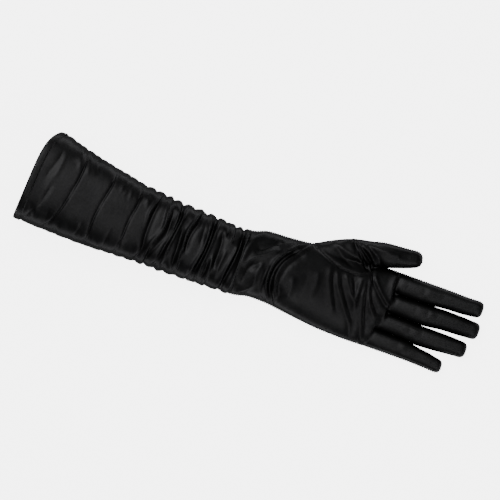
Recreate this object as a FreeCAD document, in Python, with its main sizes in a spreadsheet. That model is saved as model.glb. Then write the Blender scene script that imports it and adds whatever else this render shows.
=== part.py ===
import FreeCAD, Part
import os

# One long opera glove for a left hand, lying on its back with the palm up.
# +X runs from the open cuff to the fingertips, +Y towards the thumb, +Z up out of the palm.
# The origin is at the middle of the glove's footprint, on the surface that it lies on.

FINGERS = ("index", "middle", "ring", "little")
OUTER_FINGERS = {"index": "low", "little": "high"}   # the only side of each with a neighbour

# Driving sizes in millimetres, degrees or shares. Every size of the model comes from these.
SIZES = {
    "sleeve_length": 236.0,      # wrist crease to the middle of the hem
    "hand_length": 182.0,        # wrist crease to the tip of the middle finger
    "hem_width": 87.0,
    "hem_depth": 70.0,
    "hem_slant": 6.0,            # the hem is square to a sleeve that leans a little
    "hem_height": 7.0,
    "hem_centre": 2.8,           # how far the hem's middle lies towards the thumb
    "hem_wall": 2.0,             # turned up, so it is double
    "hem_gap": 0.5,              # between the hem band and the gathered panels
    "wrist_width": 61.5,
    "wrist_depth": 41.0,
    "wrist_centre": -8.35,
    "sleeve_wall": 1.5,          # gathered satin, thicker than one flat layer
    "hand_wall": 1.0,
    "elastic_width": 6.0,
    "elastic_thickness": 0.8,
    "knuckle_reach": 97.6,       # wrist crease to the index and middle knuckles
    "knuckle_depth": 22.0,
    "palm_margin": 1.1,          # palm edge beyond the outer fingers
    "palm_centre": -10.7,
    "finger_gap": 0.5,           # between neighbouring finger tubes
    "finger_height": 8.2,        # centre line of the fingers above the surface
    "finger_roundness": 0.9,     # depth of a finger as a share of its width
    "fourchette_height": 5.0,
    "index_width": 17.8,
    "index_length": 81.4,        # knuckle to fingertip
    "index_set_back": 0.0,       # knuckle behind the index knuckle
    "index_taper": 0.84,         # width near the tip as a share of the width at the knuckle
    "index_drift": 0.4,          # fingertip towards the thumb from the knuckle
    "index_bend": 38.7,          # knuckle to middle joint
    "middle_width": 17.0,
    "middle_length": 84.4,
    "middle_set_back": 0.0,
    "middle_taper": 0.9,
    "middle_drift": 0.9,
    "middle_bend": 38.7,
    "ring_width": 16.2,
    "ring_length": 81.0,
    "ring_set_back": 2.0,
    "ring_taper": 0.9,
    "ring_drift": -1.5,
    "ring_bend": 35.2,
    "little_width": 16.6,
    "little_length": 68.3,
    "little_set_back": 5.6,
    "little_taper": 0.7,
    "little_drift": -4.6,
    "little_bend": 28.7,
    "thumb_width": 19.8,
    "thumb_root_width": 21.4,
    "thumb_reach": 66.8,         # wrist crease to the thumb's lower joint
    "thumb_root": 39.0,          # how far the thumb runs back into the palm from that joint
    "thumb_length": 48.0,        # lower joint to tip
    "thumb_bend": 21.0,          # lower joint to upper joint
    "thumb_stand_off": -2.9,     # thumb's near side out from the edge of the palm, which it tucks behind
    "thumb_height": 12.5,
    "thumb_splay": 10.5,
    "thumb_roll": 6.0,           # the thumb's tip closes slightly across the palm
    "thumb_clearance": 0.8,      # between the moving thumb and the side of the palm
    "joint_gap": 0.8,
    "rest_sink": 0.3,            # the round underside is flattened by this much
    "wrist_close": 60.0,
    "wrist_open": 45.0,
    "knuckle_close": 85.0,
    "knuckle_open": 15.0,
    "finger_close": 100.0,
    "finger_open": 0.0,
    "thumb_base_close": 38.0,
    "thumb_base_open": 10.0,
    "thumb_tip_close": 65.0,
    "thumb_tip_open": 10.0,
}

# Gathered sleeve: share of the way from wrist to hem, share of the way from wrist width to hem
# width, and how far the middle lies towards the little finger from a straight line, in mm.
SLEEVE_PROFILE = (
    (-0.025, 0.03, 0.3),
    (0.00, 0.00, 0.0),
    (0.13, -0.03, 5.4),
    (0.28, 0.12, 6.6),
    (0.43, 0.17, 7.4),
    (0.58, 0.35, 6.7),
    (0.73, 0.67, 5.1),
    (0.88, 0.88, 2.4),
    (0.96, 0.97, 0.9),
)
# Hand: share of the way from wrist crease to knuckles, and of the way from wrist width to palm.
HAND_PROFILE = ((-0.05, 0.0), (0.0, 0.0), (0.22, 0.48), (0.52, 0.98), (0.77, 1.05), (1.08, 1.0))
# Thumb: distance along it as a share of the root (behind the joint) or of the length (past it),
# the offset towards the palm in mm, and the turn away from the thumb's own direction in degrees.
THUMB_ROOT_PROFILE = ((-1.0, 7.9, 20), (-0.62, 2.3, 16), (-0.31, 0.2, 6))
DOME_ANGLES = (0, 28, 52, 74)     # degrees round a rounded fingertip
THUMB_SIDE = 90                   # a section's turn that starts its outline on the thumb's side
LITTLE_SIDE = -90                 # and on the little finger's side
REACH = 70.0                      # a cutting block reaches this far from its joint
TALL = 60.0                       # and this far above and below it

doc = FreeCAD.newDocument("OperaGlove")
sheet = doc.addObject("Spreadsheet::Sheet", "Sizes")
for row, (alias, value) in enumerate(SIZES.items(), start=1):
    sheet.set(f"A{row}", str(value))
    sheet.setAlias(f"A{row}", alias)
doc.recompute()


def of(alias):
    """The expression that reads one driving size."""
    return f"Sizes.{alias}"


# Places worked out from the driving sizes.
HEM_CORNER = f"({of('hem_width')} / 2 * sin({of('hem_slant')}))"
WRIST_X = f"(({of('sleeve_length')} + {HEM_CORNER} - {of('hand_length')}) / 2)"
KNUCKLE_X = f"({WRIST_X} + {of('knuckle_reach')})"
WRIST_Z = f"({of('wrist_depth')} / 2 - {of('rest_sink')})"
HEM_Z = f"({of('hem_depth')} / 2 - {of('rest_sink')})"
KNUCKLE_Z = f"({of('knuckle_depth')} / 2 - {of('rest_sink')})"
FINGERS_WIDTH = "(" + " + ".join(of(f"{finger}_width") for finger in FINGERS) + ")"
PALM_WIDTH = f"({FINGERS_WIDTH} + 3 * {of('finger_gap')} + 2 * {of('palm_margin')})"
SLEEVE_TURN = f"atan(({HEM_Z} - {WRIST_Z}) / {of('sleeve_length')})"
HAND_TURN = f"atan(({WRIST_Z} - {KNUCKLE_Z}) / {of('knuckle_reach')})"


def mix(first, second, share):
    """The expression for a value part of the way from first to second."""
    return f"({first} + ({second} - {first}) * ({share}))"


def drive(item, expressions):
    """Bind each property of an object to its expression."""
    for name, expression in expressions.items():
        item.setExpression(name, expression)
    return item


def section(name, centre, half_width, half_depth, yaw="0", start=THUMB_SIDE):
    """One upright elliptic section across the glove, its outline starting on the given side."""
    x, y, z = centre
    place = f"placement(vector({x}; {y}; {z}); rotation({start} + {yaw}; 0; 90))"
    ellipse = doc.addObject("Part::Ellipse", name)
    return drive(ellipse, {"MajorRadius": half_width, "MinorRadius": half_depth, "Placement": place})


def loft(name, sections):
    """A smooth solid through the sections, each given as section()'s arguments."""
    skin = doc.addObject("Part::Loft", name)
    skin.Sections = [section(f"{name}_{number}", *each) for number, each in enumerate(sections)]
    skin.Solid = True
    skin.Ruled = False
    return skin


def cut(name, base, tool):
    result = doc.addObject("Part::Cut", name)
    result.Base = base
    result.Tool = tool
    return result


def common(name, base, tool):
    result = doc.addObject("Part::Common", name)
    result.Base = base
    result.Tool = tool
    return result


def fuse(name, pieces):
    result = doc.addObject("Part::MultiFuse", name)
    result.Shapes = pieces
    return result


def block(name, at, turn, low, high, yaw="0", roll="0"):
    """A box from low to high in a frame at a point, turned by yaw, roll and then turn."""
    x, y, z = at
    stand = f"placement(vector({x}; {y}; {z}); rotation({yaw}; 0; {roll}))"
    lean = f"placement(vector(0; 0; 0); rotation(0; {turn}; 0))"
    corner = f"placement(vector({low[0]}; {low[1]}; {low[2]}); rotation(0; 0; 0))"
    box = doc.addObject("Part::Box", name)
    lengths = [f"({top}) - ({bottom})" for bottom, top in zip(low, high)]
    return drive(box, {
        "Length": lengths[0],
        "Width": lengths[1],
        "Height": lengths[2],
        "Placement": f"{stand} * {lean} * {corner}",
    })


def joint_tools(name, at, half_width, close, opening, yaw="0", roll="0"):
    """Two blocks that leave a notch for the bend: one clears the child, one the parent."""
    near = f"{of('joint_gap')} / 2"
    close_half = f"({of(close)} / 2 + 1)"
    open_half = f"({of(opening)} / 2 + 1)"
    tools = []
    for side, start, end in (("before", f"-{REACH}", near), ("after", f"-{near}", f"{REACH}")):
        lean = "" if side == "before" else "-"
        turns = (f"{lean}{close_half}", f"-({lean}{open_half})")
        halves = [
            block(f"{name}_{side}_{number}", at, turn, (start, f"-({half_width})", -TALL),
                  (end, half_width, TALL), yaw, roll)
            for number, turn in enumerate(turns)
        ]
        tools.append(fuse(f"{name}_{side}", halves))
    return tools


parts = {}


def finish_part(name, shape):
    """Give a finished sub-part its own name as its label."""
    shape.Label = name
    parts[name] = shape
    return shape


floor = block("floor", ("0", "0", "0"), "0", ("-400", "-200", "-50"), ("400", "200", "0"))


# ---- Sleeve: a front and a back panel, gathered along both side seams ----

def sleeve_section(share, fullness, shift, inset):
    """A section of the sleeve, part of the way from wrist to hem."""
    x = f"{WRIST_X} - ({share}) * {of('sleeve_length')}"
    y = f"{mix(of('wrist_centre'), of('hem_centre'), share)} - {shift}"
    z = mix(WRIST_Z, HEM_Z, share)
    half_width = f"{mix(of('wrist_width'), of('hem_width'), fullness)} / 2 - {inset}"
    half_depth = f"{mix(of('wrist_depth'), of('hem_depth'), share)} / 2 - {inset}"
    yaw = f"({of('hem_slant')} * ({max(share, 0)}))"
    return (x, y, z), half_width, half_depth, yaw


def sleeve_solid(name, inset):
    body = [sleeve_section(*each, inset) for each in reversed(SLEEVE_PROFILE)]
    panel_end = f"(1 - ({of('hem_height')} + {of('hem_gap')}) / {of('sleeve_length')})"
    (x, y, z), half_width, half_depth, yaw = sleeve_section(1, 1, 0, inset)
    start_x = f"{WRIST_X} - {panel_end} * {of('sleeve_length')}"
    return loft(name, [((start_x, y, z), half_width, half_depth, of("hem_slant"))] + body[1:])


sleeve_outer = sleeve_solid("sleeve_outer", "0")
sleeve_inner = sleeve_solid("sleeve_inner", of("sleeve_wall"))
sleeve_shell = cut("sleeve_shell", sleeve_outer, sleeve_inner)
wrist_before, wrist_after = joint_tools(
    "wrist", (WRIST_X, of("wrist_centre"), WRIST_Z), "60", "wrist_close", "wrist_open")
sleeve_tube = cut("sleeve_tube", sleeve_shell, wrist_after)
at_wrist = (WRIST_X, "0", WRIST_Z)
sleeve_above = block("sleeve_above", at_wrist, SLEEVE_TURN, ("-300", "-100", "0"), ("50", "100", "80"))
finish_part("sleeve_front_panel", common("sleeve_front", sleeve_tube, sleeve_above))
sleeve_below = cut("sleeve_below", sleeve_tube, sleeve_above)
finish_part("sleeve_back_panel", cut("sleeve_back", sleeve_below, floor))


# ---- Gathering elastics: a narrow strip inside each side seam ----

elastic_layer = cut(
    "elastic_layer", sleeve_solid("elastic_outer", of("sleeve_wall")),
    sleeve_solid("elastic_inner", f"{of('sleeve_wall')} - {of('elastic_thickness')}"))
elastic_low = f"-({of('elastic_width')}) / 2"
elastic_high = f"{of('elastic_width')} / 2"
elastic_ends = (f"-0.93 * {of('sleeve_length')}", f"-0.13 * {of('sleeve_length')}")
for side, low_y, high_y in (("thumb", "0", "100"), ("little", "-100", "0")):
    strip = block(f"{side}_strip", (WRIST_X, of("wrist_centre"), WRIST_Z), SLEEVE_TURN,
                  (elastic_ends[0], low_y, elastic_low), (elastic_ends[1], high_y, elastic_high))
    finish_part(f"{side}_side_elastic", common(f"{side}_elastic", elastic_layer, strip))


# ---- Hem: the turned-up band round the arm opening ----

def hem_solid(name, inset):
    centre, half_width, half_depth, yaw = sleeve_section(1, 1, 0, inset)
    edge = (centre, half_width, half_depth, of("hem_slant"))
    inner_x = f"{centre[0]} + {of('hem_height')}"
    inner = ((inner_x, centre[1], centre[2]), half_width, half_depth, of("hem_slant"))
    return loft(name, [edge, inner])


hem_ring = cut("hem_ring", hem_solid("hem_outer", "0"), hem_solid("hem_inner", of("hem_wall")))
finish_part("hem_band", cut("hem_flat", hem_ring, floor))


# ---- Fingers: front, back and fourchette strips, in a lower and an upper length ----

def finger_base_y(finger):
    """The finger tubes stand side by side from the palm's thumb edge."""
    y = f"{of('palm_centre')} + {PALM_WIDTH} / 2 - {of('palm_margin')}"
    for neighbour in FINGERS:
        if neighbour == finger:
            return f"({y} - {of(f'{finger}_width')} / 2)"
        y += f" - {of(f'{neighbour}_width')} - {of('finger_gap')}"


def finger_knuckle_x(finger):
    return f"({KNUCKLE_X} - {of(f'{finger}_set_back')})"


def finger_solid(finger, name, inset):
    """A tapered tube with a domed tip."""
    width = of(f"{finger}_width")
    length = of(f"{finger}_length")
    tip_radius = f"({width} * {of(f'{finger}_taper')} / 2)"
    tube_end = f"(1 - {tip_radius} / {length})"

    def at(x_share, radius, forward="0"):
        x = f"{finger_knuckle_x(finger)} + {x_share} * {length} + {forward}"
        y = f"{finger_base_y(finger)} + {of(f'{finger}_drift')} * {x_share}"
        return (x, y, of("finger_height")), radius, f"({radius}) * {of('finger_roundness')}"

    sections = [
        at("-0.08", f"{width} / 2 - {inset}"),
        at("0.2", f"{mix(width, f'{tip_radius} * 2', '0.25')} / 2 - {inset}"),
        at("0.55", f"{mix(width, f'{tip_radius} * 2', '0.6')} / 2 - {inset}"),
    ]
    for angle in DOME_ANGLES:
        forward = f"({tip_radius} - {inset}) * sin({angle})"
        sections.append(at(tube_end, f"({tip_radius} - {inset}) * cos({angle})", forward))
    return loft(name, sections)


def finger_pieces(name, length, at, low_side, high_side):
    """Split one length of a finger into its front, its fourchettes and its back."""
    strip = f"{of('fourchette_height')} / 2"
    above = block(f"{name}_above", at, "0", ("-20", "-30", strip), ("100", "30", "30"))
    side = block(f"{name}_side", at, "0", ("-20", low_side, f"-({strip})"), ("100", high_side, strip))
    finish_part(f"{name}_front", common(f"{name}_front_cut", length, above))
    finish_part(f"{name}_fourchette", common(f"{name}_side_cut", length, side))
    below = cut(f"{name}_below", length, above)
    finish_part(f"{name}_back", cut(f"{name}_back_cut", below, side))


finger_solids = {}
knuckle_after = []
for finger in FINGERS:
    tube = cut(f"{finger}_tube", finger_solid(finger, f"{finger}_outer", "0"),
               finger_solid(finger, f"{finger}_inner", of("hand_wall")))
    knuckle = (finger_knuckle_x(finger), finger_base_y(finger), of("finger_height"))
    bend_x = f"{knuckle[0]} + {of(f'{finger}_bend')}"
    bend = (bend_x, finger_base_y(finger), of("finger_height"))
    room = f"{of(f'{finger}_width')} / 2 + {of('finger_gap')} / 2 + 2 * {of('palm_margin')}"
    before_knuckle, after_knuckle = joint_tools(
        f"{finger}_knuckle", knuckle, room, "knuckle_close", "knuckle_open")
    before_bend, after_bend = joint_tools(
        f"{finger}_middle", bend, "30", "finger_close", "finger_open")
    knuckle_after.append(after_knuckle)
    past_knuckle = cut(f"{finger}_past_knuckle", tube, before_knuckle)
    lower = cut(f"{finger}_lower", past_knuckle, after_bend)
    upper = cut(f"{finger}_upper", tube, before_bend)
    low_side = "0" if OUTER_FINGERS.get(finger) == "high" else "-30"
    high_side = "0" if OUTER_FINGERS.get(finger) == "low" else "30"
    finger_pieces(f"{finger}_lower", lower, knuckle, low_side, high_side)
    finger_pieces(f"{finger}_upper", upper, knuckle, low_side, high_side)


# ---- Thumb: set into the palm, with a gusset, a lower and an upper length ----

THUMB_X = f"({WRIST_X} + {of('thumb_reach')})"
THUMB_OUT = f"({of('thumb_width')} / 2 + {of('thumb_stand_off')})"     # its centre, out from the palm's edge
THUMB_Y = f"({of('palm_centre')} + {PALM_WIDTH} / 2 + {THUMB_OUT})"
THUMB_AT = (THUMB_X, THUMB_Y, of("thumb_height"))


def along_thumb(distance, inward="0"):
    """A point on the thumb's centre line, a distance past its lower joint."""
    x = f"{THUMB_X} + ({distance}) * cos({of('thumb_splay')})"
    y = f"{THUMB_Y} + ({distance}) * sin({of('thumb_splay')}) - {inward}"
    return x, y, of("thumb_height")


def thumb_solid(name, inset):
    root_half = f"{of('thumb_root_width')} / 2 - {inset}"
    half = f"({of('thumb_width')} / 2 - {inset})"
    deep = of("finger_roundness")
    yaw = of("thumb_splay")
    sections = []
    for share, inward, turn in THUMB_ROOT_PROFILE:
        place = along_thumb(f"{share} * {of('thumb_root')}", inward)
        sections.append((place, root_half, f"({root_half}) * {deep}", f"({yaw} + {turn})"))
    for share, fullness in ((0.0, 1.09), (0.25, 1.09), (0.54, 0.97)):
        place = along_thumb(f"{share} * {of('thumb_length')}")
        width = f"{half} * {fullness}"
        sections.append((place, width, f"{width} * {deep}", yaw))
    tip_radius = f"({of('thumb_width')} * 0.84 / 2)"
    for angle in DOME_ANGLES:
        forward = f"{of('thumb_length')} - {tip_radius} + ({tip_radius} - {inset}) * sin({angle})"
        width = f"({tip_radius} - {inset}) * cos({angle})"
        sections.append((along_thumb(forward), width, f"{width} * {deep}", yaw))
    return loft(name, sections)


def hand_solid(name, inset):
    """The palm's flattened tube, from the wrist to the knuckles."""
    sections = []
    for share, fullness in HAND_PROFILE:
        x = f"{WRIST_X} + ({share}) * {of('knuckle_reach')}"
        y = mix(of("wrist_centre"), of("palm_centre"), min(max(share, 0), 1))
        z = mix(WRIST_Z, KNUCKLE_Z, share)
        half_width = f"{mix(of('wrist_width'), PALM_WIDTH, fullness)} / 2 - {inset}"
        half_depth = f"{mix(of('wrist_depth'), of('knuckle_depth'), share)} / 2 - {inset}"
        sections.append(((x, y, z), half_width, half_depth, "0", LITTLE_SIDE))
    return loft(name, sections)


thumb_inner = thumb_solid("thumb_inner", of("hand_wall"))
thumb_shell = cut("thumb_shell", thumb_solid("thumb_outer", "0"), thumb_inner)
hand_outer = hand_solid("hand_outer", "0")
thumb_base_before, thumb_base_after = joint_tools(
    "thumb_base", THUMB_AT, "30", "thumb_base_close", "thumb_base_open", of("thumb_splay"))
thumb_tip_at = along_thumb(of("thumb_bend"))
thumb_tip_before, thumb_tip_after = joint_tools(
    "thumb_tip", thumb_tip_at, "30", "thumb_tip_close", "thumb_tip_open",
    of("thumb_splay"), of("thumb_roll"))
thumb_above = block("thumb_above", THUMB_AT, "0", ("-60", "-60", "0"), ("100", "60", "40"))
gusset_shell = cut("gusset_shell", thumb_shell, thumb_base_after)
finish_part("thumb_gusset", cut("gusset_cut", gusset_shell, hand_outer))
# The thumb swings in upright planes along its own direction, so one such plane keeps it off the palm.
palm_side = block(
    "palm_side", THUMB_AT, "0", ("-60", "-60", "-40"),
    ("100", f"{of('thumb_clearance')} - {THUMB_OUT}", "40"), of("thumb_splay"))
thumb_past_base = cut("thumb_past_base", cut("thumb_lower_shell", thumb_shell, thumb_base_before), palm_side)
thumb_lengths = {
    "thumb_lower": cut("thumb_lower_cut", thumb_past_base, thumb_tip_after),
    "thumb_upper": cut("thumb_upper_cut", thumb_shell, thumb_tip_before),
}
for name, length in thumb_lengths.items():
    finish_part(f"{name}_front", common(f"{name}_front_cut", length, thumb_above))
    finish_part(f"{name}_back", cut(f"{name}_back_cut", length, thumb_above))


# ---- Hand: the palm panel and the back panel, joined along the little-finger side ----

hand_shell = cut("hand_shell", hand_outer, hand_solid("hand_inner", of("hand_wall")))
hand_cleared = cut("hand_cleared", hand_shell, fuse("hand_ends", [wrist_before] + knuckle_after))
hand_tube = cut("hand_tube", hand_cleared, thumb_inner)
hand_above = block("hand_above", at_wrist, HAND_TURN, ("-50", "-100", "0"), ("150", "100", "60"))
finish_part("palm_panel", common("palm_cut", hand_tube, hand_above))
hand_below = cut("hand_below", hand_tube, hand_above)
finish_part("hand_back_panel", cut("hand_back_cut", hand_below, floor))


# ---- Check the document and write the sub-parts ----

doc.recompute()
failed = [item.Name for item in doc.Objects if {"Invalid", "Error"} & set(item.State)]
if failed:
    raise RuntimeError(f"objects that failed: {failed}")
for name, item in parts.items():
    if item.Shape.isNull() or not item.Shape.isValid() or not item.Shape.Solids:
        raise RuntimeError(f"{name} has no valid solid")
os.makedirs("parts", exist_ok=True)
for name, item in parts.items():
    item.Shape.exportStep(f"parts/{name}.step")
    print(f"{name}: {len(item.Shape.Solids)} solid(s), {item.Shape.Volume:.0f} mm3")
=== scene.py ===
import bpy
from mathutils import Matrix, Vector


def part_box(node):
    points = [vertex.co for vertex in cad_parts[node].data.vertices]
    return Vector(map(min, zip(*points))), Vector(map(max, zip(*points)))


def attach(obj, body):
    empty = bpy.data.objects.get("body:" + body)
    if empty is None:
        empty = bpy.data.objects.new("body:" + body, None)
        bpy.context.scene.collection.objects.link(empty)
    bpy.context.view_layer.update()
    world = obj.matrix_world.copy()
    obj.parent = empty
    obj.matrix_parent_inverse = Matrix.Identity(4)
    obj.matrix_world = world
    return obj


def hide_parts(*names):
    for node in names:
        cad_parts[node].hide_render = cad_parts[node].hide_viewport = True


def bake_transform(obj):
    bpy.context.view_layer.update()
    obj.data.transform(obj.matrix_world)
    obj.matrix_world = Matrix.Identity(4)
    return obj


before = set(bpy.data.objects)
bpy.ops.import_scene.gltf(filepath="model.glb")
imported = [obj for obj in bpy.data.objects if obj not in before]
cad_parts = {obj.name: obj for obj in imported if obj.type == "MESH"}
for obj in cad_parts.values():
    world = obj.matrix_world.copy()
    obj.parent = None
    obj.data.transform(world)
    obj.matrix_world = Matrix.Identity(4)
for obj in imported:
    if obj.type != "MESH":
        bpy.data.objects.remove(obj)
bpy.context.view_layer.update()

import math

import bpy
import numpy as np
from mathutils import Vector

# A long opera glove for a left hand, palm up: +X to the fingertips, +Y to the thumb, +Z up.
# Everything is worked out in millimetres and turned into metres when a mesh is made.
MM = 0.001
SEED = 417
CLOTH = 0.45                  # thickness of the satin
VOXEL = 0.95                  # size of the hand's mesh cells
SEAM_PITCH = 2.0              # overlock stitches along the side seams
TOPSTITCH_PITCH = 2.6         # stitches that show: the hem's and the thumb seam's
HAND_START = -9.5             # the hand's cloth begins here, inside the sleeve's end
LOWEST = 0.05                 # nothing is nearer to the surface than this
FINGERS = ("index", "middle", "ring", "little")
DIGITS = FINGERS + ("thumb",)
THUMB = DIGITS.index("thumb")


def node_box(name):
    """Lowest and highest corner of a CAD node, in millimetres."""
    low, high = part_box(name)
    return np.array(low) / MM, np.array(high) / MM


# Places that the CAD model gives.
WRIST_X = (node_box("palm_panel")[0][0] + node_box("sleeve_front_panel")[1][0]) / 2
WRIST_Z = node_box("sleeve_front_panel")[0][2]
HEM_LOW, HEM_HIGH = node_box("hem_band")
HEM_Z = (HEM_LOW[2] + HEM_HIGH[2]) / 2
FINGER_Z = node_box("middle_lower_fourchette")[0][2] + 2.5
KNUCKLE_Z = node_box("index_lower_front")[0][2]
KNUCKLE_X = node_box("index_lower_back")[0][0]
TIPS = {finger: node_box(f"{finger}_upper_back")[1][0] + 0.4 for finger in FINGERS}
THUMB_Z = node_box("thumb_upper_front")[0][2]

# Outline of the glove seen from the palm's side: the little finger's edge and the thumb's.
LOW_EDGE = ((-212, -38.5), (-186, -41.3), (-142, -43), (-100, -42.2), (-54, -42.6), (-19, -41.8),
            (-3, -41), (8, -38.6), (25, -38.9), (42, -41.2), (60, -43.7), (78, -45.6), (104, -46.6),
            (124, -46))
HIGH_EDGE = ((-212, 43.5), (-203, 44.4), (-195, 43.8), (-178, 39.8), (-160, 36), (-142, 32.2),
             (-125, 28.8), (-107, 25), (-90, 23), (-72, 20.6), (-54, 19.6), (-37, 18.4), (-19, 16.6),
             (-4, 18), (7, 21.6), (25, 22.3), (42, 23.5), (54, 24.6), (70, 25), (85, 24), (96, 23.3),
             (107, 22.4), (116, 23.8), (121, 24.9), (130, 24.9))
# Each finger's two edges along it, and where its web begins.
FINGER_EDGES = {
    "index": ((100, 6.4, 24.8), (132, 6.0, 24.4), (148, 5.6, 24.2), (160, 5.8, 24), (169, 7.1, 23.9),
              (178, 7.8, 23.7), (192, 8.2, 23.2), (203, 9.3, 23.4), (212, 9.6, 23.2)),
    "middle": ((100, -11.9, 5.9), (132, -12.1, 5.8), (148, -12.9, 5.9), (158, -12.8, 6.1),
               (168, -12.1, 6.0), (178, -10.9, 6.1), (192, -10.5, 5.7), (203, -9.9, 5.0),
               (214, -9.6, 4.8)),
    "ring": ((100, -28.2, -12.3), (130, -28.9, -12.4), (148, -30.2, -12.8), (158, -30.8, -13.4),
             (176, -30.3, -13.7), (192, -29.1, -14.2), (201, -28.6, -14.8), (209, -28.4, -15)),
    "little": ((100, -46.0, -28.7), (122, -45.9, -28.9), (140, -46, -29.5), (153, -46.2, -30.2),
               (160, -46.3, -31.6), (168, -46.7, -33.1), (176, -47.1, -34.2), (184, -47.7, -36),
               (193, -48, -36.6)),
}
WEBS = {"index": 132.0, "middle": 131.0, "ring": 130.4, "little": 122.5}
THUMB_LINE = ((46, 11.5, 9.5), (57, 17.3, 10.8), (72, 25.2, 10.7), (84, 29.7, 10.8), (96, 32, 10.9),
              (105, 33.6, 11.1), (113, 35.2, 10.9), (121.6, 36.8, 9.8), (130, 38.4, 8.7),
              (138, 40.3, 7.5), (143.6, 41.6, 6.6))
THUMB_WEB = 107.0
SPREAD = 0.45                 # how far the fingers are fanned while the hand is one skin
THUMB_SPREAD = 0.55
CONTACT_LEAN = 0.12           # how far the face where they meet leans, for each mm of height
CONTACT_GAP = 0.05            # on each side of the line where two fingers meet
MESH_LOSS = 0.4               # meshing and smoothing take this much off each side of a finger


def through(points, per_span=10):
    """A smooth curve through given points, as rows of coordinates."""
    p = np.array(points, float)
    p = np.vstack([2 * p[0] - p[1], p, 2 * p[-1] - p[-2]])
    t = np.linspace(0, 1, per_span, endpoint=False)[:, None]
    spans = []
    for a, b, c, d in zip(p[:-3], p[1:-2], p[2:-1], p[3:]):
        spans.append(0.5 * (2 * b + (c - a) * t + (2 * a - 5 * b + 4 * c - d) * t ** 2
                            + (3 * b - a - 3 * c + d) * t ** 3))
    return np.vstack(spans + [p[-2:-1]])


def read(points, x, column=1):
    """The smooth curve's value at each x."""
    curve = through(points)
    return np.interp(x, curve[:, 0], curve[:, column])


def section(angle, power):
    """Across and up, from -1 to 1, round a section that is an ellipse when power is 2."""
    return [np.sign(part) * np.abs(part) ** (2 / power) for part in (np.cos(angle), np.sin(angle))]


def ease(value, start, end):
    """0 before start, 1 after end and smooth in between."""
    t = np.clip((value - start) / (end - start), 0, 1)
    return t * t * (3 - 2 * t)


def unit(vectors):
    """Each vector at a length of 1."""
    return vectors / np.maximum(np.linalg.norm(vectors, axis=-1, keepdims=True), 1e-9)


def middle_z(x):
    """Height of the glove's middle layer: down the sleeve to the wrist, then to the knuckles."""
    return np.interp(x, (HEM_LOW[0], WRIST_X, KNUCKLE_X, KNUCKLE_X + 12),
                     (HEM_Z, WRIST_Z, KNUCKLE_Z - 0.6, FINGER_Z))


def half_depth(x):
    """Half the glove's depth."""
    return np.interp(x, (HEM_LOW[0], WRIST_X, 70, 108, 130),
                     (HEM_Z - 0.6, WRIST_Z - 0.4, 14.6, 10.4, 8.0))


# ---------------------------------------------------------------- folds

# Every fold is (height, width, points): height above (+) or below (-) the cloth, half its width,
# and the line it follows, in millimetres. A pair of widths is (left, right) of the line's direction.
TAUT_TUCKS = (
    (-1.5, (0.6, 1.1), ((-165, 39), (-164, 27), (-165, 12), (-168, -3), (-172, -20), (-177, -32),
                        (-182, -40))),
    (-1.5, (0.6, 1.1), ((-134, 33), (-136, 14), (-140, -4), (-142, -18), (-143, -41))),
    (-1.5, (0.6, 1.1), ((-108, 27), (-109, 7), (-112, -9), (-113, -24), (-116, -41))),
    (-0.6, 1.9, ((-186, 32), (-188, 21), (-192, 10), (-195, 0))),
    (-1.0, 1.6, ((-186, 1), (-189, -13), (-193, -24), (-200, -36))),
    (0.35, 1.8, ((-183, 30), (-185, 12), (-189, -4), (-192, -20), (-195, -34))),
    (-0.8, 1.4, ((-150, -22), (-152, -32), (-155, -41))),
    (-0.8, 1.4, ((-124, -20), (-126, -31), (-127, -41))),
    (-0.7, 1.6, ((-121, 31), (-122, 22), (-124, 12))),
    (-0.7, 1.6, ((-150, 36), (-149, 28), (-151, 18))),
)
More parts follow.
